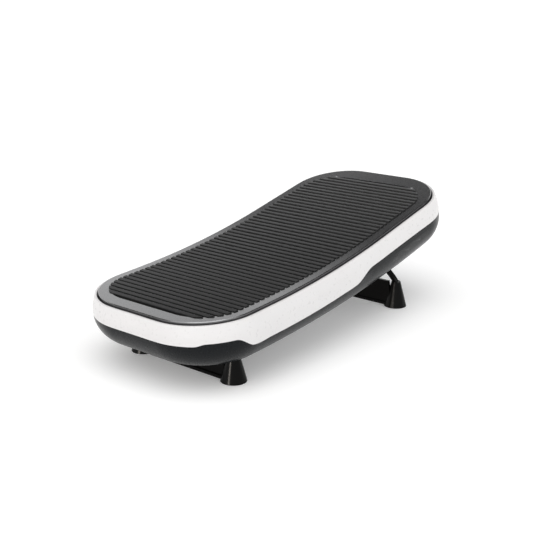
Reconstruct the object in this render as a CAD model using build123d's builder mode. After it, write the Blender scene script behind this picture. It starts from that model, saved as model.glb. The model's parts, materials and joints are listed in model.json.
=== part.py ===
from build123d import *
import os
from math import asin, atan, cos, radians, sin, sqrt, tan

# Vibration plate: a dished standing deck that rocks about a cross shaft inside a hull on four conical feet.
# Millimetres and degrees. X runs along the plate towards its high end, Y across it, Z up; the floor is Z = 0.

# ---------------------------------------------------------------- driving dimensions
# Deck and the dished line it follows
deck_centre_x = -9.25
deck_length = 806.6
deck_width = 340.0
deck_corner = 112.5
deck_thickness = 8.0
deck_edge_chamfer = 1.2
low_end_height = 142.1
high_end_height = 265.0
dish_offset = -53.0          # along the deck, where the two straight ends would meet
dish_depth = 33.1            # how far that meeting point lies below the line joining the deck's ends
dish_radius = 2240.0

# Ribbed mat
mat_side_margin = 21.6
mat_low_margin = 27.9
mat_high_margin = 46.8
mat_corner = 80.2
mat_sheet = 3.0
rib_pitch = 14.45
rib_width = 11.2
rib_height = 1.7
rib_round = 1.2
rib_lean = 1.0
rib_overhang = 2.2           # how far the ribs' ends stand over the deck's border
rib_lift = 0.1
mat_top_drop = 1.8
stud_radius = 3.0
stud_proud = 1.6
stud_along = 351.0
stud_across = 103.0
deck_screw_radius = 2.0
deck_screw_head = 2.5
deck_screw_grip = 4.0
deck_screw_seat = 0.4

# Hull: white rim over a dark tub
deck_gap = 3.0
skirt = 16.0                 # how far the hull stands out from the deck's edge
rim_lip = 8.2                # outer edge of the rim's top
rim_lip_drop = 5.8
rim_lip_crown = 4.2          # depth of the lip's highest line
rim_lip_inner = 5.6
rim_shoulder = 13.2          # one point of the rim's crowned side, and its depth
rim_shoulder_drop = 20.0
rim_full_drop = 42.0
rim_wall = 3.2
rim_boss_depth = 30.0
rim_boss_height = 15.0
rim_boss_radius = 4.0
rim_peg_radius = 2.0
rim_peg_length = 12.0
rim_inner_drop = 26.0
rim_peg_offset = 7.6
rim_side_peg_pitch = 200.0
rim_end_peg_across = 62.0
rim_low_depth = 36.0         # the rim's lower edge, measured down from the deck
rim_end_depth = 40.5
rim_mid_depth = 55.3
rim_high_depth = 39.0
rim_high_end_depth = 43.0
end_step = (-398.0, -384.0)  # the steps between those bands, from and to, along the deck
low_step = (-340.0, -304.0)
high_step = (5.0, 64.0)
high_fall = (110.0, 400.0)
step_parts = 6
band_station = 35.0
parting_gap = 0.25
tub_wall = 3.5
bilge_radius = 57.0
level_height = 50.0          # underside of the hull's level low end
rise_start = -28.0           # where its level and rising lines would meet, from the deck's centre
rise_angle = 13.7
keel_radius = 3000.0

# Feet, legs and cross-beams
foot_pitch_x = 546.0
foot_pitch_y = 236.0
foot_height = 57.5
foot_radius = 25.0
foot_top_radius = 10.0
pad_radius = 20.0
pad_height = 4.0
pad_proud = 1.0
leg_screw_grip = 14.0
low_beam_front = 17.0        # the beams' faces, ahead of and behind the feet's centres
low_beam_back = 14.0
high_beam_front = 20.0
high_beam_back = -10.5
high_beam_top = 60.0
low_beam_foot_half = 103.0   # half the beams' widths at the floor and at the top
low_beam_top_half = 110.0
high_beam_foot_half = 118.0
high_beam_top_half = 108.0
beam_floor_gap = 4.5
beam_lip = 3.0
beam_lip_height = 6.0
beam_clearance = 0.2
strut_lean = 72.0            # the strut's slope beside the foot, and how far it then turns inwards
strut_straight = 35.0
strut_radius = 75.0
strut_turn = 29.0
strut_thickness = 8.0
strut_width = 11.0
strut_boss_radius = 6.5
strut_boss_length = 16.0
strut_top_inset = 58.0       # from the foot's axis to the bolt in the strut's top

# Fittings on the high end's wall
end_fittings_height = -58.0
inlet_across = -33.0
inlet_width = 27.0
inlet_height = 20.0
inlet_depth = 22.0
inlet_flange_width = 46.0
inlet_flange_height = 27.0
flange_thickness = 2.0
socket_width = 22.0
socket_height = 15.5
socket_depth = 17.0
switch_across = 28.0
switch_width = 13.0
switch_height = 19.0
switch_depth = 20.0
switch_flange_width = 15.6
switch_flange_height = 21.6
rocker_width = 9.0
rocker_length = 15.0
rocker_thickness = 5.0
rocker_pivot_drop = 1.5
rocker_drop = 8.0
window_radius = 4.0

# Chassis inside the tub
bolt_radius = 3.0
low_bolt_y = 70.0
chassis_lift = 2.0
chassis_thickness = 3.0
chassis_length = 566.0
chassis_width = 190.0

# Rocking mechanism, in the chassis frame
pivot_height = 40.0
pivot_radius = 10.0
shaft_half_length = 96.0
bush_wall = 2.0
block_inner = 38.0
block_outer = 58.0
hanger_inner = 62.0
hanger_outer = 92.0
hanger_radius = 18.0
rail_depth = 24.0
rail_sheet = 2.5
rail_half_length = 285.0
crank_offset = 70.0
crank_height = 34.5
crank_radius = 8.5
throw = 1.2
journal_radius = 11.0
journal_half_width = 9.5
rod_pin_height = 58.5
rod_pin_radius = 4.0
rod_bearing_radius = 14.0
rod_half_width = 9.0
rod_eye_slack = 3.0
clevis_cheek = 8.0
clevis_radius = 9.0
clevis_bridge_depth = 14.0
clevis_bridge_width = 36.0
bearing_radius = 17.5
bearing_width = 12.0
housing_inner = 20.0
housing_outer = 36.0
motor_offset = 200.0
motor_height = 38.0
motor_radius = 30.0
motor_can_wall = 2.5
motor_back = -66.0
motor_front = 26.0
motor_shaft_radius = 5.0
driven_radius = 28.0
drive_radius = 14.0
belt_plane = 51.0
belt_width = 10.0
belt_thickness = 2.0
belt_gap = 0.3
stop_offset = 318.0
stop_spread = 112.0
stop_travel_room = 7.0
stop_height = 9.0
stop_radius = 12.0
stop_taper = 12.0
base_height = 8.0
base_spread = 34.0
base_bolt_spread = 28.0
base_bolt_radius = 2.5
cradle_half_length = 44.0
cradle_top = 26.0
cradle_back = -52.0
cradle_front = 12.0
strap_width = 18.0
strap_thickness = 2.5
bell_thickness = 4.0
magnet_thickness = 4.5
magnet_half_length = 28.0
magnet_middle = -20.0
air_gap = 1.0
commutator_radius = 9.0
commutator_length = 12.0
flange_height = 2.5
pulley_flange = 1.5
counterweight_radius = 24.0
pivot_block_radius = 17.0
crank_housing_radius = 22.0
chassis_corner = 25.0
rod_wall = 5.0
rod_eye_wall = 3.0
counterweight_inner = 41.0
counterweight_outer = 51.0
supply_offset = -85.0
supply_length = 76.0
supply_width = 96.0
supply_height = 36.0
board_offset = -205.0
board_length = 100.0
board_width = 88.0
board_thickness = 1.6
standoff_height = 8.0
standoff_radius = 3.0
standoff_inset = 6.0

# Fits
running_gap = 0.05
seat_gap = 0.02
side_gap = 0.5

# ---------------------------------------------------------------- worked-out places
rim_steps = (
    (*end_step, rim_low_depth - rim_end_depth),
    (*low_step, rim_mid_depth - rim_low_depth),
    (*high_step, rim_high_depth - rim_mid_depth),
    (*high_fall, rim_high_end_depth - rim_high_depth),
)
half_length = deck_length / 2
half_width = deck_width / 2
hull_tilt = asin((high_end_height - low_end_height) / deck_length)
low_slope = dish_depth / (half_length + dish_offset)
high_slope = dish_depth / (half_length - dish_offset)
front_foot_x = deck_centre_x - foot_pitch_x / 2
rear_foot_x = deck_centre_x + foot_pitch_x / 2
foot_y = foot_pitch_y / 2
reach = 60.0                 # how far cutting shapes run past what they cut


def tilted(angle, origin):
    """Frame turned about Y, so that its X climbs towards the high end."""
    return Plane(origin=origin, x_dir=(cos(angle), 0, sin(angle)), z_dir=(-sin(angle), 0, cos(angle)))


def side_of(frame, y=0.0):
    """Side view of a frame at a given Y: its X to the right, its Z up, and extrusions running towards -Y."""
    return Plane(origin=(frame.origin.X, y, frame.origin.Z), x_dir=frame.x_dir, z_dir=(0, -1, 0))


def keel_height(x):
    """Underside of the hull, inside its bilge, at a place along the floor."""
    rise = radians(rise_angle)
    past = x - (deck_centre_x + rise_start)
    bend = past + keel_radius * tan(rise / 2)
    if bend > keel_radius * sin(rise):
        return level_height + past * tan(rise)
    return level_height + keel_radius - sqrt(keel_radius**2 - max(0.0, bend) ** 2)


hull = tilted(hull_tilt, (deck_centre_x, 0, (low_end_height + high_end_height) / 2))
plate_low = keel_height(front_foot_x) + tub_wall + chassis_lift
plate_high = keel_height(rear_foot_x) + tub_wall + chassis_lift
chassis = tilted(atan((plate_high - plate_low) / foot_pitch_x), (deck_centre_x, 0, (plate_low + plate_high) / 2))
ground = Plane(origin=(deck_centre_x, 0, 0), x_dir=(1, 0, 0), z_dir=(0, 0, 1))


# ---------------------------------------------------------------- shared outlines
def dish_line(depth, past=reach):
    """The deck's line in side view at a depth below its top: two straight ends joined by one long arc."""
    return FilletPolyline(
        (-half_length - past, low_slope * past - depth),
        (dish_offset, -dish_depth - depth),
        (half_length + past, high_slope * past - depth),
        radius=dish_radius,
    )


def dish_height(u):
    """Height of the deck's line in the hull frame at a place along it."""
    low, high = atan(low_slope), atan(high_slope)
    tangent = dish_radius * tan((low + high) / 2)
    arc_start = dish_offset - tangent * cos(low)
    arc_end = dish_offset + tangent * cos(high)
    if u < arc_start:
        return -low_slope * (u + half_length)
    if u > arc_end:
        return high_slope * (u - half_length)
    centre_u = arc_start + dish_radius * sin(low)
    centre_w = low_slope * -(arc_start + half_length) + dish_radius * cos(low)
    return centre_w - sqrt(dish_radius**2 - (u - centre_u) ** 2)


def dish_band(top, bottom):
    """Side-view face between two depths below the deck's top."""
    with BuildSketch() as band:
        with BuildLine():
            upper = dish_line(top)
            lower = dish_line(bottom)
            Line(upper @ 0, lower @ 0)
            Line(upper @ 1, lower @ 1)
        make_face()
    return band.sketch


def plan_outline(offset):
    """The deck's outline from above, grown by an offset."""
    RectangleRounded(deck_length + 2 * offset, deck_width + 2 * offset, deck_corner + offset)


def mat_outline(offset=0.0):
    """The mat's outline from above, nearer to the low end than to the high end."""
    length = deck_length - mat_low_margin - mat_high_margin
    with Locations(((mat_low_margin - mat_high_margin) / 2, 0)):
        RectangleRounded(length + 2 * offset, deck_width - 2 * (mat_side_margin - offset), mat_corner + offset)


def dished_slab(top, bottom, outline):
    """Sheet that follows the deck's dish between two depths, cut to a plan outline."""
    with BuildPart() as slab:
        with BuildSketch(side_of(hull)):
            add(dish_band(top, bottom))
        extrude(amount=deck_width, both=True)
        with BuildSketch(hull.offset(-reach)):
            outline()
        extrude(amount=2 * reach, mode=Mode.INTERSECT)
    return slab.part


def hull_block(inset):
    """Solid hull with its rounded bilge, every face moved inwards by an inset."""
    far = deck_length
    with BuildPart() as block:
        with BuildSketch(hull.offset(-0.3 * far)):
            plan_outline(skirt - inset)
        extrude(amount=0.35 * far)
        with BuildSketch(side_of(ground)):
            with BuildLine():
                keel = FilletPolyline(
                    (-far, level_height + inset),
                    (rise_start, level_height + inset),
                    (far, level_height + inset + (far - rise_start) * tan(radians(rise_angle))),
                    radius=keel_radius,
                )
                Polyline(keel @ 0, (-far, far), (far, far), keel @ 1)
            make_face()
        extrude(amount=deck_width, both=True, mode=Mode.INTERSECT)
        undersides = block.faces().filter_by(lambda face: face.normal_at().Z < -0.9)
        seams = [edge for face in undersides for edge in face.edges()]
        bilge = [edge for edge in seams if sum(edge.is_same(other) for other in seams) == 1]
        fillet(bilge, bilge_radius - inset)
    return block.part


def rim_edge_depth(u):
    """Depth of the rim's lower edge below the deck's line: four bands joined by smooth steps."""
    depth = rim_end_depth
    for start, stop, change in rim_steps:
        share = min(1.0, max(0.0, (u - start) / (stop - start)))
        depth += change * share**2 * (3 - 2 * share)
    return depth


def rim_region(grow):
    """Side view of what the rim covers, its stepped lower edge moved down by a gap."""
    far = half_length + reach
    bounds = [-far] + [place for start, stop, change in rim_steps for place in (start, stop)] + [far]
    stations = [far]
    for start, stop in zip(bounds, bounds[1:]):
        parts = max(step_parts, round((stop - start) / band_station))
        stations += [start + (stop - start) * part / parts for part in range(parts)]
    places = [(u, dish_height(u) - rim_edge_depth(u) - grow) for u in sorted(stations)]
    with BuildSketch() as region:
        with BuildLine():
            lower = Spline(*places)
            Polyline(lower @ 0, (-far, 2 * reach), (far, 2 * reach), lower @ 1)
        make_face()
    return region.sketch


def rim_path(depth):
    """Closed curve round the deck's edge, a depth below its top."""
    centres = [
        (half_length - deck_corner, half_width - deck_corner, 0),
        (-half_length + deck_corner, half_width - deck_corner, 90),
        (-half_length + deck_corner, -half_width + deck_corner, 180),
        (half_length - deck_corner, -half_width + deck_corner, 270),
    ]
    corner_steps = 10
    straight_step = 40.0
    corners = []
    for u, v, start in centres:
        for step in range(corner_steps + 1):
            turn = radians(start + 90 * step / corner_steps)
            corners.append((u + deck_corner * cos(turn), v + deck_corner * sin(turn)))
    points = []
    for (u0, v0), (u1, v1) in zip(corners, corners[1:] + corners[:1]):
        parts = max(1, round(sqrt((u1 - u0) ** 2 + (v1 - v0) ** 2) / straight_step))
        for part in range(parts):
            share = part / parts
            points.append((u0 + (u1 - u0) * share, v0 + (v1 - v0) * share))
    places = [hull.from_local_coords(Vector(u, v, dish_height(u) - depth)) for u, v in points]
    return Edge.make_spline(places, periodic=True)


def upright(u, v, depth):
    """Plane square to the hull's frame, a depth below the deck's line."""
    return Plane(hull.from_local_coords(Vector(u, v, dish_height(u) - depth)), x_dir=hull.x_dir, z_dir=hull.z_dir)


def chassis_spot(u, v, w=0.0):
    """Plane square to the chassis at a place on it."""
    return Plane(chassis.from_local_coords(Vector(u, v, w)), x_dir=chassis.x_dir, z_dir=chassis.z_dir)


# ---------------------------------------------------------------- deck and mat
def outer_loop(faces):
    """Edges round a group of touching faces, without the seams between them."""
    seams = [edge for face in faces for edge in face.edges()]
    return [edge for edge in seams if sum(edge.is_same(other) for other in seams) == 1]


rail_mid = (hanger_inner + hanger_outer) / 2
rail_width = hanger_outer - hanger_inner
deck_screw_places = [(u, hand * rail_mid) for u in (-250, -120, 120, 250) for hand in (-1, 1)]

with BuildPart() as deck_plate:
    add(dished_slab(0, deck_thickness, lambda: plan_outline(0)))
    chamfer(outer_loop(deck_plate.faces().filter_by(lambda face: face.normal_at().Z > 0.9)), deck_edge_chamfer)
    add(dished_slab(-reach / 2, mat_sheet, mat_outline), mode=Mode.SUBTRACT)
    for u, v in deck_screw_places:
        with BuildSketch(upright(u, v, deck_thickness + deck_screw_head)):
            Circle(deck_screw_radius + seat_gap)
        extrude(amount=deck_screw_head + deck_screw_grip, mode=Mode.SUBTRACT)
    for hand in (-1, 1):
        with BuildSketch(upright(stud_along, hand * stud_across, mat_sheet)):
            Circle(stud_radius + seat_gap)
        extrude(amount=mat_sheet * 2, mode=Mode.SUBTRACT)

mat_length = deck_length - mat_low_margin - mat_high_margin
mat_middle = (mat_low_margin - mat_high_margin) / 2
rib_count = int((mat_length - rib_width) / rib_pitch) + 1


def rib_profiles(depth):
    """Side view of every rib, from a depth below the deck's top up to its rounded top."""
    with BuildSketch() as ribs:
        for rib in range(rib_count):
            u = mat_middle + (rib - (rib_count - 1) / 2) * rib_pitch
            top = dish_height(u)
            with BuildLine():
                crown = FilletPolyline(
                    (u - rib_width / 2, top - depth),
                    (u - rib_width / 2 + rib_lean, top + rib_height),
                    (u + rib_width / 2 - rib_lean, top + rib_height),
                    (u + rib_width / 2, top - depth),
                    radius=rib_round,
                )
                Line(crown @ 1, crown @ 0)
            make_face()
    return ribs.sketch


with BuildPart() as rib_ends:
    with BuildSketch(side_of(hull)):
        add(rib_profiles(mat_sheet / 2))
    extrude(amount=deck_width, both=True)
    with BuildSketch(hull.offset(-reach)):
        mat_outline(rib_overhang)
    extrude(amount=2 * reach, mode=Mode.INTERSECT)
    with BuildSketch(side_of(hull)):
        add(dish_band(-rib_lift, reach / 2))
    extrude(amount=deck_width, both=True, mode=Mode.SUBTRACT)

with BuildPart() as rubber_mat:
    with BuildSketch(side_of(hull)):
        add(dish_band(mat_top_drop, mat_sheet))
        add(rib_profiles(mat_sheet / 2 + mat_top_drop / 2))
    extrude(amount=deck_width, both=True)
    with BuildSketch(hull.offset(-reach)):
        mat_outline(-side_gap)
    extrude(amount=2 * reach, mode=Mode.INTERSECT)
    add(rib_ends)
    with BuildSketch(hull.offset(-reach)):
        with Locations(*[(stud_along, hand * stud_across) for hand in (-1, 1)]):
            Circle(stud_radius + side_gap / 2)
    extrude(amount=2 * reach, mode=Mode.SUBTRACT)

with BuildPart() as mat_studs:
    for hand in (-1, 1):
        with BuildSketch(upright(stud_along, hand * stud_across, mat_sheet)):
            Circle(stud_radius)
        extrude(amount=mat_sheet + stud_proud)
    fillet(mat_studs.faces().filter_by(lambda face: face.normal_at().Z > 0.9).edges(), stud_proud / 2)

with BuildPart() as deck_rails:
    for hand in (-1, 1):
        rail_edge = hand * rail_mid + rail_width / 2
        strips = (
            (rail_edge, rail_width, deck_thickness + rail_sheet),
            (rail_edge, rail_sheet, rail_depth),
            (rail_edge - rail_width + rail_sheet, rail_sheet, rail_depth),
        )
        for edge, width, depth in strips:
            with BuildSketch(side_of(hull, edge)):
                add(dish_band(deck_thickness, depth))
                Rectangle(2 * rail_half_length, deck_length, mode=Mode.INTERSECT)
            extrude(amount=width)
    for u, v in deck_screw_places:
        with BuildSketch(upright(u, v, deck_thickness + 2 * rail_sheet)):
            Circle(deck_screw_radius + seat_gap)
        extrude(amount=3 * rail_sheet, mode=Mode.SUBTRACT)

with BuildPart() as deck_screws:
    for u, v in deck_screw_places:
        head_top = deck_thickness + rail_sheet + deck_screw_seat
        with BuildSketch(upright(u, v, head_top)):
            Circle(deck_screw_radius)
        extrude(amount=head_top - deck_thickness + deck_screw_grip - side_gap)
        with BuildSketch(upright(u, v, head_top + deck_screw_head)):
            Circle(2 * deck_screw_radius)
        extrude(amount=deck_screw_head)

with BuildPart() as pivot_hangers:
    for hand in (-1, 1):
        with BuildSketch(side_of(chassis, hand * rail_mid + rail_width / 2)):
            with Locations((0, pivot_height)):
                Circle(hanger_radius)
            with Locations((0, pivot_height + reach)):
                Rectangle(2 * hanger_radius, 2 * reach)
            with Locations((0, pivot_height)):
                Circle(pivot_radius + bush_wall + seat_gap, mode=Mode.SUBTRACT)
        extrude(amount=rail_width)
    with BuildSketch(side_of(hull)):
        add(dish_band(rail_depth, deck_length))
    extrude(amount=deck_width, both=True, mode=Mode.INTERSECT)

with BuildPart() as pivot_bushes:
    for hand in (-1, 1):
        with BuildSketch(side_of(chassis, hand * rail_mid + rail_width / 2)):
            with Locations((0, pivot_height)):
                Circle(pivot_radius + bush_wall)
                Circle(pivot_radius + running_gap, mode=Mode.SUBTRACT)
        extrude(amount=rail_width)

rod_spot = hull.to_local_coords(chassis.from_local_coords(Vector(crank_offset, 0, rod_pin_height)))
cheek_inner = rod_half_width + side_gap
cheek_outer = cheek_inner + clevis_cheek
with BuildPart() as rod_clevis:
    with BuildSketch(side_of(chassis)):
        with Locations((crank_offset, rod_pin_height)):
            Circle(clevis_radius)
        with Locations((crank_offset, rod_pin_height + reach)):
            Rectangle(2 * clevis_radius, 2 * reach)
        with Locations((crank_offset, rod_pin_height)):
            Circle(rod_pin_radius + seat_gap, mode=Mode.SUBTRACT)
    extrude(amount=cheek_outer, both=True)
    with BuildSketch(side_of(hull)):
        add(dish_band(deck_thickness, deck_length))
    extrude(amount=cheek_outer, both=True, mode=Mode.INTERSECT)
    with BuildSketch(side_of(hull)):
        add(dish_band(clevis_bridge_depth, deck_length))
    extrude(amount=cheek_inner, both=True, mode=Mode.SUBTRACT)
    with BuildSketch(side_of(hull)):
        add(dish_band(deck_thickness, clevis_bridge_depth))
        with Locations((rod_spot.X, 0)):
            Rectangle(clevis_bridge_width, deck_length, mode=Mode.INTERSECT)
    extrude(amount=hanger_inner - side_gap, both=True)

with BuildPart() as clevis_pin:
    with BuildSketch(side_of(chassis)):
        with Locations((crank_offset, rod_pin_height)):
            Circle(rod_pin_radius)
    extrude(amount=cheek_outer + side_gap, both=True)
    chamfer(clevis_pin.edges().filter_by(GeomType.CIRCLE), side_gap)

# ---------------------------------------------------------------- hull
rim_peg_places = [
    (step * rim_side_peg_pitch, hand * (half_width + rim_peg_offset)) for step in (-1, 0, 1) for hand in (-1, 1)
]
rim_peg_places += [
    (end * (half_length + rim_peg_offset), hand * rim_end_peg_across) for end in (-1, 1) for hand in (-1, 1)
]

with BuildPart() as upper_rim:
    start = rim_path(0) @ 0
    along = rim_path(0) % 0
    outward = along.cross(hull.z_dir).normalized()
    with BuildSketch(Plane(origin=start, x_dir=outward, z_dir=outward.cross(hull.z_dir))):
        with BuildLine():
            inner_wall = Line((deck_gap, -rim_inner_drop), (deck_gap, -rim_lip_inner))
            lip = Spline(inner_wall @ 1, ((deck_gap + rim_lip) / 2, -rim_lip_crown), (rim_lip, -rim_lip_drop),
                         tangents=((0.2, 1), (0.25, -1)))
            side = Spline(lip @ 1, (rim_shoulder, -rim_shoulder_drop), (skirt, -rim_full_drop),
                          tangents=((0.25, -1), (0, -1)))
            skin = Line(side @ 1, (skirt, -rim_mid_depth - rim_wall))
            inside_foot = Line(skin @ 1, skin @ 1 - Vector(rim_wall, 0))
            inside = Line(inside_foot @ 1, (skirt - rim_wall, -rim_full_drop))
            under = Spline(inside @ 1, (rim_shoulder - rim_wall, -rim_shoulder_drop),
                           (deck_gap + rim_wall, -rim_lip_drop - rim_wall), tangents=((0, 1), (-0.25, 1)))
            drop = Line(under @ 1, (deck_gap + rim_wall, -rim_inner_drop))
            Line(drop @ 1, inner_wall @ 0)
        make_face()
    sweep(path=rim_path(0), binormal=rim_path(rim_mid_depth))
    for u, v in rim_peg_places:
        with BuildSketch(upright(u, v, rim_boss_depth)):
            Circle(rim_boss_radius)
        extrude(amount=rim_boss_height)
    for u, v in rim_peg_places:
        with BuildSketch(upright(u, v, rim_boss_depth)):
            Circle(rim_peg_radius + seat_gap)
        extrude(amount=rim_peg_length + side_gap, mode=Mode.SUBTRACT)
    with BuildSketch(side_of(hull)):
        add(rim_region(0))
    extrude(amount=deck_width, both=True, mode=Mode.INTERSECT)

end_wall = Plane(
    hull.from_local_coords(Vector(half_length + skirt, 0, 0)), x_dir=(0, 1, 0), z_dir=hull.x_dir
)
chassis_bolt_places = [(-foot_pitch_x / 2, hand * low_bolt_y) for hand in (-1, 1)]
chassis_bolt_places += [(foot_pitch_x / 2, hand * (foot_y - strut_top_inset)) for hand in (-1, 1)]
stop_places = [(end * stop_offset, hand * stop_spread) for end in (-1, 1) for hand in (-1, 1)]
stop_top_depth = deck_thickness + stop_travel_room

hull_outside = hull_block(0)
with BuildPart() as tub_posts:
    for u, v in rim_peg_places:
        with BuildSketch(upright(u, v, rim_boss_depth + parting_gap)):
            Circle(rim_boss_radius)
        extrude(amount=-deck_width / 2)
        with BuildSketch(upright(u, v, rim_boss_depth + rim_boss_radius)):
            Circle(rim_peg_radius)
        extrude(amount=rim_peg_length + rim_boss_radius)
    for u, v in stop_places:
        with BuildSketch(upright(u, v, stop_top_depth + stop_height)):
            Circle(stop_radius)
        extrude(amount=-deck_width / 2)
    for u, v in chassis_bolt_places:
        with BuildSketch(chassis_spot(u, v)):
            Circle(2 * bolt_radius)
        extrude(amount=-deck_width / 4)
    add(hull_block(tub_wall / 2), mode=Mode.INTERSECT)

with BuildPart() as lower_shell:
    add(hull_outside)
    add(hull_block(tub_wall), mode=Mode.SUBTRACT)
    with BuildSketch(side_of(hull)):
        add(rim_region(parting_gap))
    extrude(amount=deck_width, both=True, mode=Mode.SUBTRACT)
    add(tub_posts)
    for u, v in chassis_bolt_places:
        with BuildSketch(chassis_spot(u, v, -reach)):
            Circle(bolt_radius + running_gap)
        extrude(amount=reach + chassis_thickness, mode=Mode.SUBTRACT)
    for hand in (-1, 1):
        with BuildSketch(Plane((front_foot_x, hand * foot_y, 0))):
            Circle(bolt_radius + running_gap)
        extrude(amount=low_end_height, mode=Mode.SUBTRACT)
    with BuildSketch(end_wall):
        with Locations((inlet_across, end_fittings_height)):
            Rectangle(inlet_flange_width + side_gap, inlet_flange_height + side_gap)
        with Locations((switch_across, end_fittings_height)):
            Rectangle(switch_flange_width + side_gap, switch_flange_height + side_gap)
    extrude(amount=-flange_thickness, mode=Mode.SUBTRACT)
    with BuildSketch(end_wall):
        with Locations((inlet_across, end_fittings_height)):
            Rectangle(inlet_width + side_gap, inlet_height + side_gap)
        with Locations((switch_across, end_fittings_height)):
            Rectangle(switch_width + side_gap, switch_height + side_gap)
        with Locations((0, end_fittings_height)):
            Circle(window_radius + side_gap / 2)
    extrude(amount=-3 * tub_wall, mode=Mode.SUBTRACT)

with BuildPart() as bump_stops:
    for u, v in stop_places:
        with BuildSketch(upright(u, v, stop_top_depth + stop_height)):
            Circle(stop_radius)
        extrude(amount=stop_height, taper=stop_taper)

# ---------------------------------------------------------------- legs and cross-beams
low_feet = [(front_foot_x, hand * foot_y) for hand in (1, -1)]
high_feet = [(rear_foot_x, hand * foot_y) for hand in (1, -1)]


def foot_cone(x, y):
    """Conical foot with a round seat for its pad."""
    with BuildPart() as foot:
        with Locations((x, y, (foot_height + pad_proud) / 2)):
            Cone(foot_radius, foot_top_radius, foot_height - pad_proud)
        with Locations((x, y, pad_height / 2)):
            Cylinder(pad_radius + seat_gap, pad_height, mode=Mode.SUBTRACT)
    return foot.part


def low_leg(x, y):
    """Plain foot, bored for the screw that holds it to the tub."""
    with BuildPart() as leg:
        add(foot_cone(x, y))
        add(hull_outside, mode=Mode.SUBTRACT)
        with BuildSketch(Plane((x, y, keel_height(x) - leg_screw_grip))):
            Circle(bolt_radius + seat_gap)
        extrude(amount=2 * leg_screw_grip, mode=Mode.SUBTRACT)
    return leg.part


def high_leg(x, y):
    """Foot with a curved strut that hugs its outer side, then leans inwards and up to the tub."""
    hand = 1 if y > 0 else -1
    lean = radians(strut_lean)
    with BuildPart() as leg:
        with BuildSketch(Plane(origin=(x, y, 0), x_dir=(0, -hand, 0), z_dir=(-hand, 0, 0))):
            with BuildLine():
                foot = Line(
                    (-foot_radius + pad_proud, beam_floor_gap),
                    Vector(-foot_radius + pad_proud, beam_floor_gap)
                    + Vector(cos(lean), sin(lean)) * strut_straight,
                )
                bend = JernArc(foot @ 1, foot % 1, strut_radius, -strut_turn)
                arm = PolarLine(bend @ 1, high_end_height, direction=bend % 1)
                across = Vector(sin(lean), -cos(lean)) * strut_thickness
                under_foot = Line(foot @ 0 + across, foot @ 1 + across)
                under_bend = JernArc(under_foot @ 1, foot % 1, strut_radius - strut_thickness, -strut_turn)
                under_arm = PolarLine(under_bend @ 1, high_end_height, direction=bend % 1)
                Line(foot @ 0, under_foot @ 0)
                Line(arm @ 1, under_arm @ 1)
            make_face()
        extrude(amount=strut_width / 2, both=True)
        bolt_v = hand * (foot_y - strut_top_inset)
        with BuildSketch(chassis_spot(foot_pitch_x / 2, bolt_v, -chassis_lift - tub_wall - strut_boss_length)):
            Circle(strut_boss_radius)
        extrude(amount=strut_boss_length + tub_wall)
        add(hull_outside, mode=Mode.SUBTRACT)
        with BuildSketch(Plane.XY):
            with Locations((x, y)):
                Rectangle(foot_pitch_y, foot_pitch_y)
        extrude(amount=keel_height(x) + strut_width, mode=Mode.INTERSECT)
        add(foot_cone(x, y))
        with Locations((x, y, pad_height / 2)):
            Cylinder(pad_radius + seat_gap, pad_height, mode=Mode.SUBTRACT)
        with BuildSketch(chassis_spot(foot_pitch_x / 2, bolt_v, -leg_screw_grip * 2)):
            Circle(bolt_radius + seat_gap)
        extrude(amount=leg_screw_grip * 2, mode=Mode.SUBTRACT)
    return leg.part


def cross_beam(x, feet, front, back, top, foot_half, top_half):
    """Beam across the floor between two feet, its ends cut to seat on their cones."""
    with BuildPart() as beam:
        with BuildSketch(Plane(origin=(x + back, 0, 0), x_dir=(0, -1, 0), z_dir=(-1, 0, 0))):
            with BuildLine():
                Polyline(
                    (-foot_half, beam_floor_gap),
                    (foot_half, beam_floor_gap),
                    (top_half, top),
                    (-top_half, top),
                    close=True,
                )
            make_face()
        extrude(amount=front + back)
        with BuildSketch(Plane(origin=(x - front + beam_lip, 0, 0), x_dir=(0, -1, 0), z_dir=(-1, 0, 0))):
            with Locations((0, top / 2 + beam_floor_gap + beam_lip_height)):
                Rectangle(foot_pitch_y, top)
        extrude(amount=beam_lip, mode=Mode.SUBTRACT)
        for foot_x, foot_side in feet:
            with Locations((foot_x, foot_side, (foot_height + pad_proud) / 2)):
                Cone(
                    foot_radius + beam_clearance,
                    foot_top_radius + beam_clearance,
                    foot_height - pad_proud,
                    mode=Mode.SUBTRACT,
                )
    return beam.part


low_leg_left = low_leg(*low_feet[0])
low_leg_right = low_leg(*low_feet[1])
high_leg_left = high_leg(*high_feet[0])
high_leg_right = high_leg(*high_feet[1])
high_cross_beam = cross_beam(rear_foot_x, high_feet, high_beam_front, high_beam_back, high_beam_top,
                             high_beam_foot_half, high_beam_top_half)

with BuildPart() as low_cross_beam:
    add(cross_beam(front_foot_x, low_feet, low_beam_front, low_beam_back, foot_height,
                   low_beam_foot_half, low_beam_top_half))
    add(hull_outside, mode=Mode.SUBTRACT)
    for u, v in chassis_bolt_places[:2]:
        with BuildSketch(chassis_spot(u, v, -chassis_lift - tub_wall - leg_screw_grip)):
            Circle(bolt_radius + seat_gap)
        extrude(amount=reach, mode=Mode.SUBTRACT)

with BuildPart() as foot_pads:
    for x, y in low_feet + high_feet:
        with Locations((x, y, pad_height / 2)):
            Cylinder(pad_radius, pad_height)
    chamfer(foot_pads.faces().sort_by(Axis.Z)[:4].edges(), pad_proud / 2)

with BuildPart() as low_leg_screws:
    floor_top = keel_height(front_foot_x + 2 * bolt_radius) + tub_wall
    for x, y in low_feet:
        screw_tip = keel_height(x) - leg_screw_grip + side_gap
        with BuildSketch(Plane((x, y, screw_tip))):
            Circle(bolt_radius)
        extrude(amount=floor_top - screw_tip)
        with BuildSketch(Plane((x, y, floor_top))):
            RegularPolygon(1.8 * bolt_radius, 6)
        extrude(amount=1.5 * bolt_radius)

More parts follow.
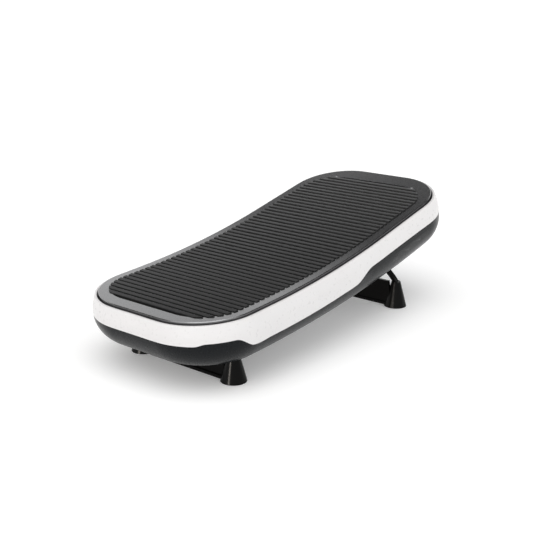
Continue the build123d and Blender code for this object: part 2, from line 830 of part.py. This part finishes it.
# ---------------------------------------------------------------- chassis
base_bolt_places = [(hand * base_bolt_spread, side * (block_inner + block_outer) / 2)
                    for hand in (-1, 1) for side in (-1, 1)]
base_bolt_places += [(crank_offset + hand * base_bolt_spread, side * (housing_inner + housing_outer) / 2)
                     for hand in (-1, 1) for side in (-1, 1)]
cradle_bolt_places = [(motor_offset + hand * (motor_radius + cradle_half_length) / 2, v)
                      for hand in (-1, 1) for v in (cradle_back + 2 * strap_width / 3, cradle_front - strap_width / 3)]
standoff_places = [(board_offset + hand * (board_length / 2 - standoff_inset), side * (board_width / 2 - standoff_inset))
                   for hand in (-1, 1) for side in (-1, 1)]

with BuildPart() as chassis_plate:
    with BuildSketch(chassis):
        RectangleRounded(chassis_length, chassis_width, chassis_corner)
        with Locations((board_offset, 0), (-supply_offset * 1.5, 0)):
            SlotOverall(supply_length, supply_length / 3, mode=Mode.SUBTRACT)
        with Locations(*chassis_bolt_places):
            Circle(bolt_radius + running_gap, mode=Mode.SUBTRACT)
        with Locations(*base_bolt_places, *cradle_bolt_places):
            Circle(base_bolt_radius + seat_gap, mode=Mode.SUBTRACT)
    extrude(amount=chassis_thickness)

with BuildPart() as chassis_bolts:
    for u, v in chassis_bolt_places:
        with BuildSketch(chassis_spot(u, v, -chassis_lift - tub_wall - leg_screw_grip + side_gap)):
            Circle(bolt_radius)
        extrude(amount=chassis_lift + tub_wall + leg_screw_grip - side_gap + chassis_thickness)
        with BuildSketch(chassis_spot(u, v, chassis_thickness)):
            RegularPolygon(1.8 * bolt_radius, 6)
        extrude(amount=1.5 * bolt_radius)


def bearing_block(u, height, radius, bore, inner, outer):
    """Pair of blocks that stand on the chassis and hold a cross shaft or its bearings."""
    with BuildPart() as blocks:
        for edge in (outer, -inner):
            with BuildSketch(side_of(chassis, edge)):
                with Locations((u, (height + chassis_thickness) / 2)):
                    Rectangle(2 * radius, height - chassis_thickness)
                with Locations((u, height)):
                    Circle(radius)
                with Locations((u, chassis_thickness + base_height / 2)):
                    Rectangle(2 * base_spread, base_height)
                with Locations((u, height)):
                    Circle(bore, mode=Mode.SUBTRACT)
            extrude(amount=outer - inner)
        for hand in (-1, 1):
            for side in (-1, 1):
                with BuildSketch(chassis_spot(u + hand * base_bolt_spread, side * (inner + outer) / 2, 0)):
                    Circle(base_bolt_radius + seat_gap)
                extrude(amount=base_height * 2, mode=Mode.SUBTRACT)
    return blocks.part


pivot_blocks = bearing_block(0, pivot_height, pivot_block_radius, pivot_radius + seat_gap, block_inner, block_outer)
crank_housings = bearing_block(
    crank_offset, crank_height, crank_housing_radius, bearing_radius + seat_gap, housing_inner, housing_outer
)

with BuildPart() as base_bolts:
    for u, v in base_bolt_places:
        with BuildSketch(chassis_spot(u, v, 0)):
            Circle(base_bolt_radius)
        extrude(amount=chassis_thickness + base_height)
        with BuildSketch(chassis_spot(u, v, chassis_thickness + base_height)):
            Circle(1.7 * base_bolt_radius)
            RegularPolygon(base_bolt_radius * 0.9, 6, mode=Mode.SUBTRACT)
        extrude(amount=1.6 * base_bolt_radius)

with BuildPart() as pivot_shaft:
    with BuildSketch(side_of(chassis)):
        with Locations((0, pivot_height)):
            Circle(pivot_radius)
    extrude(amount=shaft_half_length, both=True)
    chamfer(pivot_shaft.edges().filter_by(GeomType.CIRCLE), 1)

# ---------------------------------------------------------------- crank and rod
with BuildPart() as crank_shaft:
    with BuildSketch(side_of(chassis, belt_plane + belt_width)):
        with Locations((crank_offset, crank_height)):
            Circle(crank_radius)
    extrude(amount=belt_plane + belt_width + counterweight_outer + side_gap)
    chamfer(crank_shaft.edges().filter_by(GeomType.CIRCLE), side_gap)
    with BuildSketch(side_of(chassis)):
        with Locations((crank_offset + throw, crank_height)):
            Circle(journal_radius)
    extrude(amount=journal_half_width, both=True)

with BuildPart() as crank_bearings:
    bearing_middle = (housing_inner + housing_outer) / 2
    for middle in (-bearing_middle, bearing_middle):
        with BuildSketch(side_of(chassis, middle + bearing_width / 2)):
            with Locations((crank_offset, crank_height)):
                Circle(bearing_radius)
                Circle(crank_radius + running_gap, mode=Mode.SUBTRACT)
        extrude(amount=bearing_width)

with BuildPart() as counterweight:
    with BuildSketch(side_of(chassis, -counterweight_inner)):
        with Locations((crank_offset, crank_height)):
            Circle(counterweight_radius)
        with Locations((crank_offset + counterweight_radius / 2 + crank_radius / 2, crank_height)):
            Rectangle(counterweight_radius, 2 * counterweight_radius, mode=Mode.SUBTRACT)
        with Locations((crank_offset, crank_height)):
            Circle(crank_radius + 3 * crank_radius / 5)
            Circle(crank_radius + seat_gap, mode=Mode.SUBTRACT)
    extrude(amount=counterweight_outer - counterweight_inner)


def pulley(u, height, radius, bore, spokes):
    """Flat-belt pulley between two thin flanges, in the belt's plane."""
    half = belt_width / 2 + side_gap / 2
    with BuildPart() as wheel:
        with BuildSketch(side_of(chassis, belt_plane + half)):
            with Locations((u, height)):
                Circle(radius)
        extrude(amount=2 * half)
        for edge in (belt_plane + half + pulley_flange, belt_plane - half):
            with BuildSketch(side_of(chassis, edge)):
                with Locations((u, height)):
                    Circle(radius + flange_height)
            extrude(amount=pulley_flange)
        with BuildSketch(side_of(chassis, belt_plane + belt_width)):
            with Locations((u, height)):
                Circle(bore + seat_gap)
            if spokes:
                with Locations((u, height)):
                    with PolarLocations((radius + bore) / 2, spokes):
                        Circle((radius - bore) / 2 - rail_sheet)
        extrude(amount=2 * belt_width, mode=Mode.SUBTRACT)
    return wheel.part


driven_pulley = pulley(crank_offset, crank_height, driven_radius, crank_radius, 5)
drive_pulley = pulley(motor_offset, motor_height, drive_radius, motor_shaft_radius, 0)


def belt_loop(grow):
    """Side view of a loop that runs round both pulleys, clear of them by a distance."""
    with BuildSketch() as loop:
        with Locations((crank_offset, crank_height)):
            Circle(driven_radius + grow)
        with Locations((motor_offset, motor_height)):
            Circle(drive_radius + grow)
        make_hull()
    return loop.sketch


with BuildPart() as drive_belt:
    with BuildSketch(side_of(chassis, belt_plane + belt_width / 2)):
        add(belt_loop(belt_gap + belt_thickness))
        add(belt_loop(belt_gap), mode=Mode.SUBTRACT)
    extrude(amount=belt_width)

with BuildPart() as connecting_rod:
    with BuildSketch(side_of(chassis)):
        with Locations((crank_offset + throw, crank_height)):
            Circle(rod_bearing_radius + rod_wall)
        with Locations((crank_offset + throw, rod_pin_height)):
            Circle(rod_pin_radius + rod_eye_slack + rod_eye_wall)
        make_hull()
        with Locations((crank_offset + throw, crank_height)):
            Circle(rod_bearing_radius + seat_gap, mode=Mode.SUBTRACT)
        with Locations((crank_offset + throw, rod_pin_height)):
            Circle(rod_pin_radius + rod_eye_slack, mode=Mode.SUBTRACT)
    extrude(amount=rod_half_width, both=True)

with BuildPart() as rod_bearing:
    with BuildSketch(side_of(chassis)):
        with Locations((crank_offset + throw, crank_height)):
            Circle(rod_bearing_radius)
            Circle(journal_radius + running_gap, mode=Mode.SUBTRACT)
    extrude(amount=rod_half_width, both=True)

# ---------------------------------------------------------------- motor
def motor_disc(start, stop, radius, bore=0.0):
    """Round piece on the motor's axis between two places across the plate."""
    with BuildPart() as disc:
        with BuildSketch(side_of(chassis, stop)):
            with Locations((motor_offset, motor_height)):
                Circle(radius)
                if bore:
                    Circle(bore, mode=Mode.SUBTRACT)
        extrude(amount=stop - start)
    return disc.part


shaft_bore = motor_shaft_radius + running_gap
can_inside = motor_radius - motor_can_wall
motor_can = motor_disc(motor_back, motor_front, motor_radius, can_inside)
motor_front_bell = motor_disc(motor_front, motor_front + bell_thickness, motor_radius, shaft_bore)
motor_rear_bell = motor_disc(motor_back - bell_thickness, motor_back, motor_radius, shaft_bore)
armature_radius = can_inside - magnet_thickness - air_gap
motor_shaft = motor_disc(motor_back - bell_thickness, belt_plane + belt_width, motor_shaft_radius)
armature = motor_disc(
    magnet_middle - magnet_half_length, magnet_middle + magnet_half_length, armature_radius,
    motor_shaft_radius + seat_gap,
)
commutator = motor_disc(
    magnet_middle + magnet_half_length + side_gap,
    magnet_middle + magnet_half_length + commutator_length,
    commutator_radius,
    motor_shaft_radius + seat_gap,
)

with BuildPart() as motor_magnets:
    with BuildSketch(side_of(chassis, magnet_middle)):
        with Locations((motor_offset, motor_height)):
            Circle(can_inside - seat_gap)
            Circle(can_inside - magnet_thickness, mode=Mode.SUBTRACT)
            Rectangle(magnet_thickness * 4, 2 * motor_radius, mode=Mode.SUBTRACT)
    extrude(amount=magnet_half_length, both=True)

with BuildPart() as motor_cradle:
    with BuildSketch(side_of(chassis, cradle_front)):
        with Locations((motor_offset, (chassis_thickness + cradle_top) / 2)):
            Rectangle(2 * cradle_half_length, cradle_top - chassis_thickness)
        with Locations((motor_offset, motor_height)):
            Circle(motor_radius + seat_gap, mode=Mode.SUBTRACT)
    extrude(amount=cradle_front - cradle_back)
    for u, v in cradle_bolt_places:
        with BuildSketch(chassis_spot(u, v)):
            Circle(base_bolt_radius + seat_gap)
        extrude(amount=2 * cradle_top, mode=Mode.SUBTRACT)

strap_outside = motor_radius + strap_thickness
with BuildPart() as motor_straps:
    for v in (cradle_back + 2 * strap_width / 3, cradle_front - strap_width / 3):
        with BuildSketch(side_of(chassis, v + strap_width / 3)):
            with Locations((motor_offset, motor_height)):
                Circle(strap_outside)
            with Locations((motor_offset, cradle_top + strap_thickness / 2)):
                Rectangle(2 * cradle_half_length, strap_thickness)
            with Locations((motor_offset, motor_height)):
                Circle(motor_radius + seat_gap, mode=Mode.SUBTRACT)
            with Locations((motor_offset, cradle_top - reach)):
                Rectangle(4 * cradle_half_length, 2 * reach, mode=Mode.SUBTRACT)
        extrude(amount=2 * strap_width / 3)
    for u, v in cradle_bolt_places:
        with BuildSketch(chassis_spot(u, v)):
            Circle(base_bolt_radius + seat_gap)
        extrude(amount=2 * cradle_top, mode=Mode.SUBTRACT)

with BuildPart() as cradle_bolts:
    for u, v in cradle_bolt_places:
        with BuildSketch(chassis_spot(u, v)):
            Circle(base_bolt_radius)
        extrude(amount=cradle_top + strap_thickness)
        with BuildSketch(chassis_spot(u, v, cradle_top + strap_thickness)):
            RegularPolygon(1.7 * base_bolt_radius, 6)
        extrude(amount=1.6 * base_bolt_radius)

# ---------------------------------------------------------------- electrics
with BuildPart() as power_supply:
    with BuildSketch(chassis_spot(supply_offset, 0, chassis_thickness)):
        RectangleRounded(supply_length, supply_width, 3)
    extrude(amount=supply_height)
    chamfer(power_supply.faces().filter_by(lambda face: face.normal_at().Z > 0.9).edges(), 1.5)
    with BuildSketch(chassis_spot(supply_offset, 0, chassis_thickness + supply_height)):
        with GridLocations(0, supply_width / 9, 1, 7):
            SlotOverall(supply_length * 0.7, supply_width / 27)
    extrude(amount=-supply_height / 6, mode=Mode.SUBTRACT)

with BuildPart() as board_standoffs:
    with BuildSketch(chassis_spot(0, 0, chassis_thickness)):
        with Locations(*standoff_places):
            RegularPolygon(standoff_radius, 6)
    extrude(amount=standoff_height)

board_base = chassis_thickness + standoff_height
with BuildPart() as control_board:
    with BuildSketch(chassis_spot(board_offset, 0, board_base)):
        RectangleRounded(board_length, board_width, 2)
    extrude(amount=board_thickness)

with BuildPart() as board_parts:
    with BuildSketch(chassis_spot(board_offset, 0, board_base + board_thickness)):
        with Locations((-20, 20), (-2, 20), (-20, -4)):
            Circle(7)
    extrude(amount=18)
    with BuildSketch(chassis_spot(board_offset, 0, board_base + board_thickness)):
        with Locations((20, -18)):
            Rectangle(30, 26)
    extrude(amount=12)
    with BuildSketch(chassis_spot(board_offset, 0, board_base + board_thickness)):
        with GridLocations(4, 0, 7, 1):
            with Locations((20, 20)):
                Rectangle(1.5, 30)
        with Locations((20, 20)):
            Rectangle(26, 3)
    extrude(amount=16)
    with BuildSketch(chassis_spot(board_offset, 0, board_base + board_thickness)):
        with GridLocations(0, 14, 1, 3):
            with Locations((-40, -16)):
                Rectangle(10, 11)
    extrude(amount=9)

# ---------------------------------------------------------------- fittings on the high end
with BuildPart() as power_inlet:
    with BuildSketch(end_wall):
        with Locations((inlet_across, end_fittings_height)):
            RectangleRounded(inlet_flange_width, inlet_flange_height, 2)
    extrude(amount=-flange_thickness)
    with BuildSketch(end_wall):
        with Locations((inlet_across, end_fittings_height)):
            Rectangle(inlet_width, inlet_height)
    extrude(amount=-inlet_depth)
    with BuildSketch(end_wall):
        with Locations((inlet_across, end_fittings_height)):
            RectangleRounded(socket_width, socket_height, 2)
    extrude(amount=-socket_depth, mode=Mode.SUBTRACT)

with BuildPart() as inlet_pins:
    with BuildSketch(end_wall.offset(-socket_depth)):
        with Locations((inlet_across - 7, end_fittings_height - 2), (inlet_across + 7, end_fittings_height - 2),
                       (inlet_across, end_fittings_height + 2.5)):
            Rectangle(2, 4)
    extrude(amount=socket_depth - 2)

rocker_axis = (switch_across, end_fittings_height)
with BuildPart() as switch_housing:
    with BuildSketch(end_wall):
        with Locations(rocker_axis):
            RectangleRounded(switch_flange_width, switch_flange_height, 1)
    extrude(amount=-flange_thickness)
    with BuildSketch(end_wall):
        with Locations(rocker_axis):
            Rectangle(switch_width, switch_height)
    extrude(amount=-switch_depth)
    with BuildSketch(end_wall):
        with Locations(rocker_axis):
            Rectangle(rocker_width + side_gap, rocker_length + 4 * side_gap)
    extrude(amount=-rocker_drop, mode=Mode.SUBTRACT)

rocker_centre = hull.from_local_coords(Vector(half_length + skirt - rocker_pivot_drop, 0, end_fittings_height))
with BuildPart() as switch_rocker:
    with BuildSketch(Plane(origin=(rocker_centre.X, switch_across + rocker_width / 2, rocker_centre.Z),
                           x_dir=hull.x_dir, z_dir=(0, -1, 0))):
        with BuildLine():
            Polyline(
                (-rocker_thickness / 2, 0),
                (rocker_pivot_drop - side_gap, -rocker_length / 2),
                (rocker_pivot_drop + side_gap, 0),
                (rocker_pivot_drop + 3 * side_gap, rocker_length / 2),
                close=True,
            )
        make_face()
    extrude(amount=rocker_width)

with BuildPart() as receiver_window:
    with BuildSketch(end_wall.offset(-2 * tub_wall)):
        with Locations((0, end_fittings_height)):
            Circle(window_radius)
    extrude(amount=2 * tub_wall - seat_gap)

# ---------------------------------------------------------------- export
pieces = {
    "deck_plate": deck_plate.part,
    "rubber_mat": rubber_mat.part,
    "mat_studs": mat_studs.part,
    "deck_rails": deck_rails.part,
    "deck_screws": deck_screws.part,
    "pivot_hangers": pivot_hangers.part,
    "pivot_bushes": pivot_bushes.part,
    "rod_clevis": rod_clevis.part,
    "clevis_pin": clevis_pin.part,
    "upper_rim": upper_rim.part,
    "lower_shell": lower_shell.part,
    "bump_stops": bump_stops.part,
    "low_leg_left": low_leg_left,
    "low_leg_right": low_leg_right,
    "high_leg_left": high_leg_left,
    "high_leg_right": high_leg_right,
    "low_cross_beam": low_cross_beam.part,
    "high_cross_beam": high_cross_beam,
    "foot_pads": foot_pads.part,
    "low_leg_screws": low_leg_screws.part,
    "chassis_plate": chassis_plate.part,
    "chassis_bolts": chassis_bolts.part,
    "pivot_blocks": pivot_blocks,
    "base_bolts": base_bolts.part,
    "pivot_shaft": pivot_shaft.part,
    "crank_housings": crank_housings,
    "crank_bearings": crank_bearings.part,
    "crank_shaft": crank_shaft.part,
    "counterweight": counterweight.part,
    "driven_pulley": driven_pulley,
    "drive_pulley": drive_pulley,
    "drive_belt": drive_belt.part,
    "connecting_rod": connecting_rod.part,
    "rod_bearing": rod_bearing.part,
    "motor_can": motor_can,
    "motor_front_bell": motor_front_bell,
    "motor_rear_bell": motor_rear_bell,
    "motor_magnets": motor_magnets.part,
    "motor_shaft": motor_shaft,
    "armature": armature,
    "commutator": commutator,
    "motor_cradle": motor_cradle.part,
    "motor_straps": motor_straps.part,
    "cradle_bolts": cradle_bolts.part,
    "power_supply": power_supply.part,
    "board_standoffs": board_standoffs.part,
    "control_board": control_board.part,
    "board_parts": board_parts.part,
    "power_inlet": power_inlet.part,
    "inlet_pins": inlet_pins.part,
    "switch_housing": switch_housing.part,
    "switch_rocker": switch_rocker.part,
    "receiver_window": receiver_window.part,
}
os.makedirs("parts", exist_ok=True)
for name, piece in pieces.items():
    piece.label = name
    export_step(piece, f"parts/{name}.step")
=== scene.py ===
import json
from math import cos, radians, sin

import bpy
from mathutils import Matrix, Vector

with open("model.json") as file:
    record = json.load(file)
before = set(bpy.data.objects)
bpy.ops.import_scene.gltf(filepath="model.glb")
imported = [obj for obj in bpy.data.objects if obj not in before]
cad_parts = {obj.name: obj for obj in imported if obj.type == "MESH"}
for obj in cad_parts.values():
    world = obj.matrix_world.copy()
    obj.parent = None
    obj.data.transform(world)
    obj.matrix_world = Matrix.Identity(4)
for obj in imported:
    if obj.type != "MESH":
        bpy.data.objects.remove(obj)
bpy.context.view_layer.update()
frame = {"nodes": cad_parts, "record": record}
nodes = frame["nodes"]

# ---------------------------------------------------------------- camera
DECK_CENTRE_X = -0.00925          # the camera's place is counted from the middle of the deck
CAMERA_PLACE = Vector((-1.4663, -1.1851, 0.6969))
CAMERA_HEADING = 39.667           # degrees from +X towards +Y
CAMERA_PITCH = 16.686             # degrees below the horizon
CAMERA_LENS = 64.17

camera_data = bpy.data.cameras.new("camera")
camera_data.lens = CAMERA_LENS
camera_data.sensor_width = 36.0
camera = bpy.data.objects.new("camera", camera_data)
bpy.context.scene.collection.objects.link(camera)
camera.location = CAMERA_PLACE + Vector((DECK_CENTRE_X, 0, 0))
heading, pitch = radians(CAMERA_HEADING), radians(CAMERA_PITCH)
sight = Vector((cos(pitch) * cos(heading), cos(pitch) * sin(heading), -sin(pitch)))
camera.rotation_euler = sight.to_track_quat("-Z", "Y").to_euler()
bpy.context.scene.camera = camera

# ---------------------------------------------------------------- floor, sky and lights
FLOOR_HALF = 60.0
FLOOR_GREY = 0.88
FLOOR_MOTTLE = 0.02
FLOOR_NOISE = 2.0
FLOOR_ROUGHNESS = 0.9
FLOOR_SPECULAR = 0.1
FLOOR_GLOW = 0.2                  # lifts the shadows on the paper, as a lit table does
HORIZON_TOP = 22.0                # degrees up to which the sky is bright
CEILING_START = 34.0              # degrees from which it is dark
HORIZON_LIGHT = 1.15
CEILING_LIGHT = 0.05

NOISE_ROUGHNESS = 0.55
NOISE_LOW = 0.3                   # the middle part of a noise's values, which spread stretches
NOISE_HIGH = 0.7
CLOUD_SCALE = 5.0                 # moulded pieces: clouds of colour and of gloss
CLOUD_DETAIL = 2.0
GLOSS_SCALE = 160.0
GRAIN_STRENGTH = 0.5
COAT_ROUGHNESS = 0.1
MARK_SCALE = 400.0                # machined pieces: tool marks and smudges
MARK_DETAIL = 5.0
MARK_STRENGTH = 0.4
MARK_DEPTH = 0.00003
SMUDGE_SCALE = 60.0
FINE_DETAIL = 4.0


class Graph:
    """A material's node tree, with short calls that add nodes and join them."""

    def __init__(self, name):
        self.material = bpy.data.materials.new(name)
        self.material.use_nodes = True
        self.tree = self.material.node_tree
        self.shader = next(n for n in self.tree.nodes if n.type == "BSDF_PRINCIPLED")

    def node(self, kind, **settings):
        made = self.tree.nodes.new(kind)
        for key, value in settings.items():
            setattr(made, key, value)
        return made

    def link(self, source, target):
        self.tree.links.new(source, target)

    def set(self, **values):
        for key, value in values.items():
            self.shader.inputs[key.replace("_", " ")].default_value = value

    def position(self, scale=(1, 1, 1)):
        """Object coordinates in metres, stretched."""
        coords = self.node("ShaderNodeTexCoord")
        mapping = self.node("ShaderNodeMapping")
        mapping.inputs["Scale"].default_value = scale
        self.link(coords.outputs["Object"], mapping.inputs["Vector"])
        return mapping.outputs["Vector"]

    def noise(self, scale, detail=3.0, stretch=(1, 1, 1)):
        """Soft clouds, counted per metre."""
        made = self.node("ShaderNodeTexNoise")
        made.inputs["Scale"].default_value = scale
        made.inputs["Detail"].default_value = detail
        made.inputs["Roughness"].default_value = NOISE_ROUGHNESS
        self.link(self.position(stretch), made.inputs["Vector"])
        return made.outputs["Fac"]

    def grain(self, scale):
        """Small cells, counted per metre."""
        made = self.node("ShaderNodeTexVoronoi")
        made.inputs["Scale"].default_value = scale
        self.link(self.position(), made.inputs["Vector"])
        return made.outputs["Distance"]

    def spread(self, value, low, high):
        """Maps a noise onto a range."""
        made = self.node("ShaderNodeMapRange")
        made.inputs["From Min"].default_value = NOISE_LOW
        made.inputs["From Max"].default_value = NOISE_HIGH
        made.inputs["To Min"].default_value = low
        made.inputs["To Max"].default_value = high
        self.link(value, made.inputs["Value"])
        return made.outputs["Result"]

    def blend(self, factor, dark, light):
        """Colour between two, by a factor."""
        made = self.node("ShaderNodeMix", data_type="RGBA")
        made.inputs["A"].default_value = (*dark, 1)
        made.inputs["B"].default_value = (*light, 1)
        self.link(factor, made.inputs["Factor"])
        return made.outputs["Result"]

    def bump(self, *layers):
        """Bump from (height, strength, distance in metres) layers, one over the other."""
        normal = None
        for height, strength, distance in layers:
            made = self.node("ShaderNodeBump")
            made.inputs["Strength"].default_value = strength
            made.inputs["Distance"].default_value = distance
            self.link(height, made.inputs["Height"])
            if normal:
                self.link(normal, made.inputs["Normal"])
            normal = made.outputs["Normal"]
        self.link(normal, self.shader.inputs["Normal"])

    def colour(self, output):
        self.link(output, self.shader.inputs["Base Color"])

    def roughness(self, output):
        self.link(output, self.shader.inputs["Roughness"])


def moulded(name, dark, light, rough, grain_scale, grain_depth, coat=0.0, specular=0.5, metallic=0.0):
    """Moulded or painted piece: cloudy colour, slightly uneven gloss and a fine surface grain."""
    graph = Graph(name)
    clouds = graph.noise(CLOUD_SCALE, CLOUD_DETAIL)
    graph.colour(graph.blend(graph.spread(clouds, 0, 1), dark, light))
    graph.roughness(graph.spread(graph.noise(GLOSS_SCALE, FINE_DETAIL), *rough))
    graph.bump((graph.grain(grain_scale), GRAIN_STRENGTH, grain_depth))
    graph.set(Coat_Weight=coat, Coat_Roughness=COAT_ROUGHNESS, Specular_IOR_Level=specular, Metallic=metallic)
    return graph.material


def machined(name, dark, light, rough, stretch=(1, 1, 1), scale=MARK_SCALE, depth=MARK_DEPTH):
    """Metal: streaks of tool marks in one direction, smudged gloss."""
    graph = Graph(name)
    marks = graph.noise(scale, MARK_DETAIL, stretch=stretch)
    graph.colour(graph.blend(graph.spread(marks, 0, 1), dark, light))
    graph.roughness(graph.spread(graph.noise(SMUDGE_SCALE, FINE_DETAIL), *rough))
    graph.bump((marks, MARK_STRENGTH, depth))
    graph.set(Metallic=1.0)
    return graph.material


floor_mesh = bpy.data.meshes.new("floor")
floor_mesh.from_pydata(
    [(x * FLOOR_HALF, y * FLOOR_HALF, 0) for x, y in ((-1, -1), (1, -1), (1, 1), (-1, 1))], [], [(0, 1, 2, 3)]
)
floor = bpy.data.objects.new("floor", floor_mesh)
bpy.context.scene.collection.objects.link(floor)
floor_graph = Graph("floor_paper")
floor_graph.colour(
    floor_graph.blend(floor_graph.noise(FLOOR_NOISE), (FLOOR_GREY,) * 3, (FLOOR_GREY + FLOOR_MOTTLE,) * 3)
)
floor_graph.set(Roughness=FLOOR_ROUGHNESS, Specular_IOR_Level=FLOOR_SPECULAR)
floor_graph.set(Emission_Color=(1, 1, 1, 1), Emission_Strength=FLOOR_GLOW)
floor_mesh.materials.append(floor_graph.material)

# A bright horizon under a dark ceiling: level surfaces mirror the horizon, and tilted ones the ceiling
LEGS = (
    "low_leg_left", "low_leg_right", "high_leg_left", "high_leg_right",
    "low_cross_beam", "high_cross_beam",
)
world = bpy.data.worlds.new("studio")
bpy.context.scene.world = world
world.use_nodes = True
sky = world.node_tree.nodes["Background"]
sky_place = world.node_tree.nodes.new("ShaderNodeTexCoord")
sky_split = world.node_tree.nodes.new("ShaderNodeSeparateXYZ")
sky_fade = world.node_tree.nodes.new("ShaderNodeMapRange")
sky_fade.interpolation_type = "SMOOTHSTEP"
sky_fade.inputs["From Min"].default_value = sin(radians(HORIZON_TOP))
sky_fade.inputs["From Max"].default_value = sin(radians(CEILING_START))
sky_fade.inputs["To Min"].default_value = HORIZON_LIGHT
sky_fade.inputs["To Max"].default_value = CEILING_LIGHT
world.node_tree.links.new(sky_place.outputs["Generated"], sky_split.inputs["Vector"])
world.node_tree.links.new(sky_split.outputs["Z"], sky_fade.inputs["Value"])
world.node_tree.links.new(sky_fade.outputs["Result"], sky.inputs["Strength"])
sky.inputs["Color"].default_value = (1.0, 1.0, 1.0, 1)


def soft_sun(name, come_from, spread, strength, tint=(1, 1, 1), lights=()):
    """Broad even light from a direction, on everything or on the named nodes alone."""
    data = bpy.data.lights.new(name, "SUN")
    data.angle = radians(spread)
    data.energy = strength
    data.color = tint
    lamp = bpy.data.objects.new(name, data)
    bpy.context.scene.collection.objects.link(lamp)
    lamp.rotation_euler = Vector(come_from).to_track_quat("Z", "Y").to_euler()
    if lights:
        lit = bpy.data.collections.new(f"lit_by_{name}")
        for node in lights:
            lit.objects.link(nodes[node])
        lamp.light_linking.receiver_collection = lit
        lamp.light_linking.blocker_collection = lit


soft_sun("overhead", (-0.35, -0.05, 1.0), 70, 1.35)
soft_sun("front", (-0.3, -0.6, 1.0), 70, 1.2)
soft_sun("warm_side", (-1.0, 0.1, 0.35), 50, 0.3, (1.0, 0.9, 0.8))
soft_sun("leg_glint", (-1.0, 0.05, 0.28), 24, 5.0, (1.0, 0.93, 0.86), LEGS)
bpy.context.scene.view_settings.view_transform = "Standard"

# ---------------------------------------------------------------- materials of the CAD nodes
materials = {
    "rim_white": moulded(
        "rim_white", (0.66, 0.65, 0.65), (0.68, 0.67, 0.67), (0.27, 0.29), 2500, 0.0000003, coat=0.3
    ),
    "tub_dark": moulded(
        "tub_dark", (0.004, 0.005, 0.006), (0.005, 0.006, 0.0072), (0.25, 0.31), 1800, 0.000006, specular=0.15
    ),
    "deck_paint": moulded(
        "deck_paint", (0.22, 0.22, 0.225), (0.27, 0.27, 0.275), (0.18, 0.22), 1400, 0.000004, metallic=0.95
    ),
    "mat_rubber": moulded(
        "mat_rubber", (0.003, 0.003, 0.0032), (0.0045, 0.0045, 0.0048), (0.28, 0.34), 1200, 0.00001, specular=0.45
    ),
    "leg_gloss": moulded(
        "leg_gloss", (0.001, 0.001, 0.001), (0.0015, 0.0015, 0.0015), (0.13, 0.17), 2500, 0.000002, specular=0.08
    ),
    "pad_rubber": moulded(
        "pad_rubber", (0.012, 0.012, 0.012), (0.02, 0.02, 0.02), (0.6, 0.75), 900, 0.00008
    ),
    "belt_rubber": moulded(
        "belt_rubber", (0.012, 0.012, 0.012), (0.025, 0.025, 0.025), (0.55, 0.7), 900, 0.00008
    ),
    "fitting_black": moulded(
        "fitting_black", (0.012, 0.012, 0.013), (0.02, 0.02, 0.021), (0.4, 0.5), 1400, 0.00004
    ),
    "rocker_black": moulded(
        "rocker_black", (0.01, 0.01, 0.011), (0.015, 0.015, 0.016), (0.15, 0.22), 2500, 0.00001
    ),
    "window_red": moulded(
        "window_red", (0.03, 0.002, 0.004), (0.04, 0.004, 0.006), (0.05, 0.1), 2500, 0.00001, coat=0.8
    ),
    "bush_plastic": moulded(
        "bush_plastic", (0.72, 0.69, 0.6), (0.78, 0.75, 0.66), (0.35, 0.45), 1400, 0.00002
    ),
    "board_green": moulded(
        "board_green", (0.01, 0.08, 0.03), (0.015, 0.11, 0.045), (0.25, 0.35), 700, 0.00004, coat=0.4
    ),
    "board_black": moulded(
        "board_black", (0.015, 0.015, 0.016), (0.03, 0.03, 0.032), (0.35, 0.5), 1200, 0.00004
    ),
    "motor_paint": moulded(
        "motor_paint", (0.012, 0.012, 0.013), (0.02, 0.02, 0.022), (0.25, 0.35), 900, 0.00003, coat=0.4
    ),
    "magnet": moulded(
        "magnet", (0.05, 0.05, 0.052), (0.08, 0.08, 0.082), (0.55, 0.7), 700, 0.0001
    ),
    "stud_metal": machined(
        "stud_metal", (0.3, 0.3, 0.305), (0.4, 0.4, 0.405), (0.2, 0.3)
    ),
    "sheet_steel": machined(
        "sheet_steel", (0.42, 0.43, 0.45), (0.58, 0.59, 0.61), (0.3, 0.45), stretch=(0.05, 1, 1)
    ),
    "cast_alloy": machined(
        "cast_alloy", (0.45, 0.46, 0.47), (0.6, 0.61, 0.62), (0.45, 0.6), scale=900, depth=0.0001
    ),
    "bolt_steel": machined(
        "bolt_steel", (0.45, 0.45, 0.46), (0.62, 0.62, 0.63), (0.22, 0.35), stretch=(1, 0.1, 1)
    ),
    "iron": machined(
        "iron", (0.12, 0.12, 0.125), (0.2, 0.2, 0.205), (0.45, 0.6), stretch=(1, 8, 1)
    ),
    "copper": machined(
        "copper", (0.62, 0.32, 0.2), (0.8, 0.45, 0.3), (0.25, 0.35), stretch=(1, 0.1, 1)
    ),
    "brass": machined(
        "brass", (0.62, 0.52, 0.28), (0.78, 0.68, 0.42), (0.22, 0.32)
    ),
    "case_metal": machined(
        "case_metal", (0.55, 0.56, 0.57), (0.68, 0.69, 0.7), (0.3, 0.42), stretch=(0.08, 1, 1)
    ),
}
for part in frame["record"]["subparts"]:
    mesh = nodes[part["node"]].data
    mesh.materials.clear()
    mesh.materials.append(materials[part["material_slot"]])
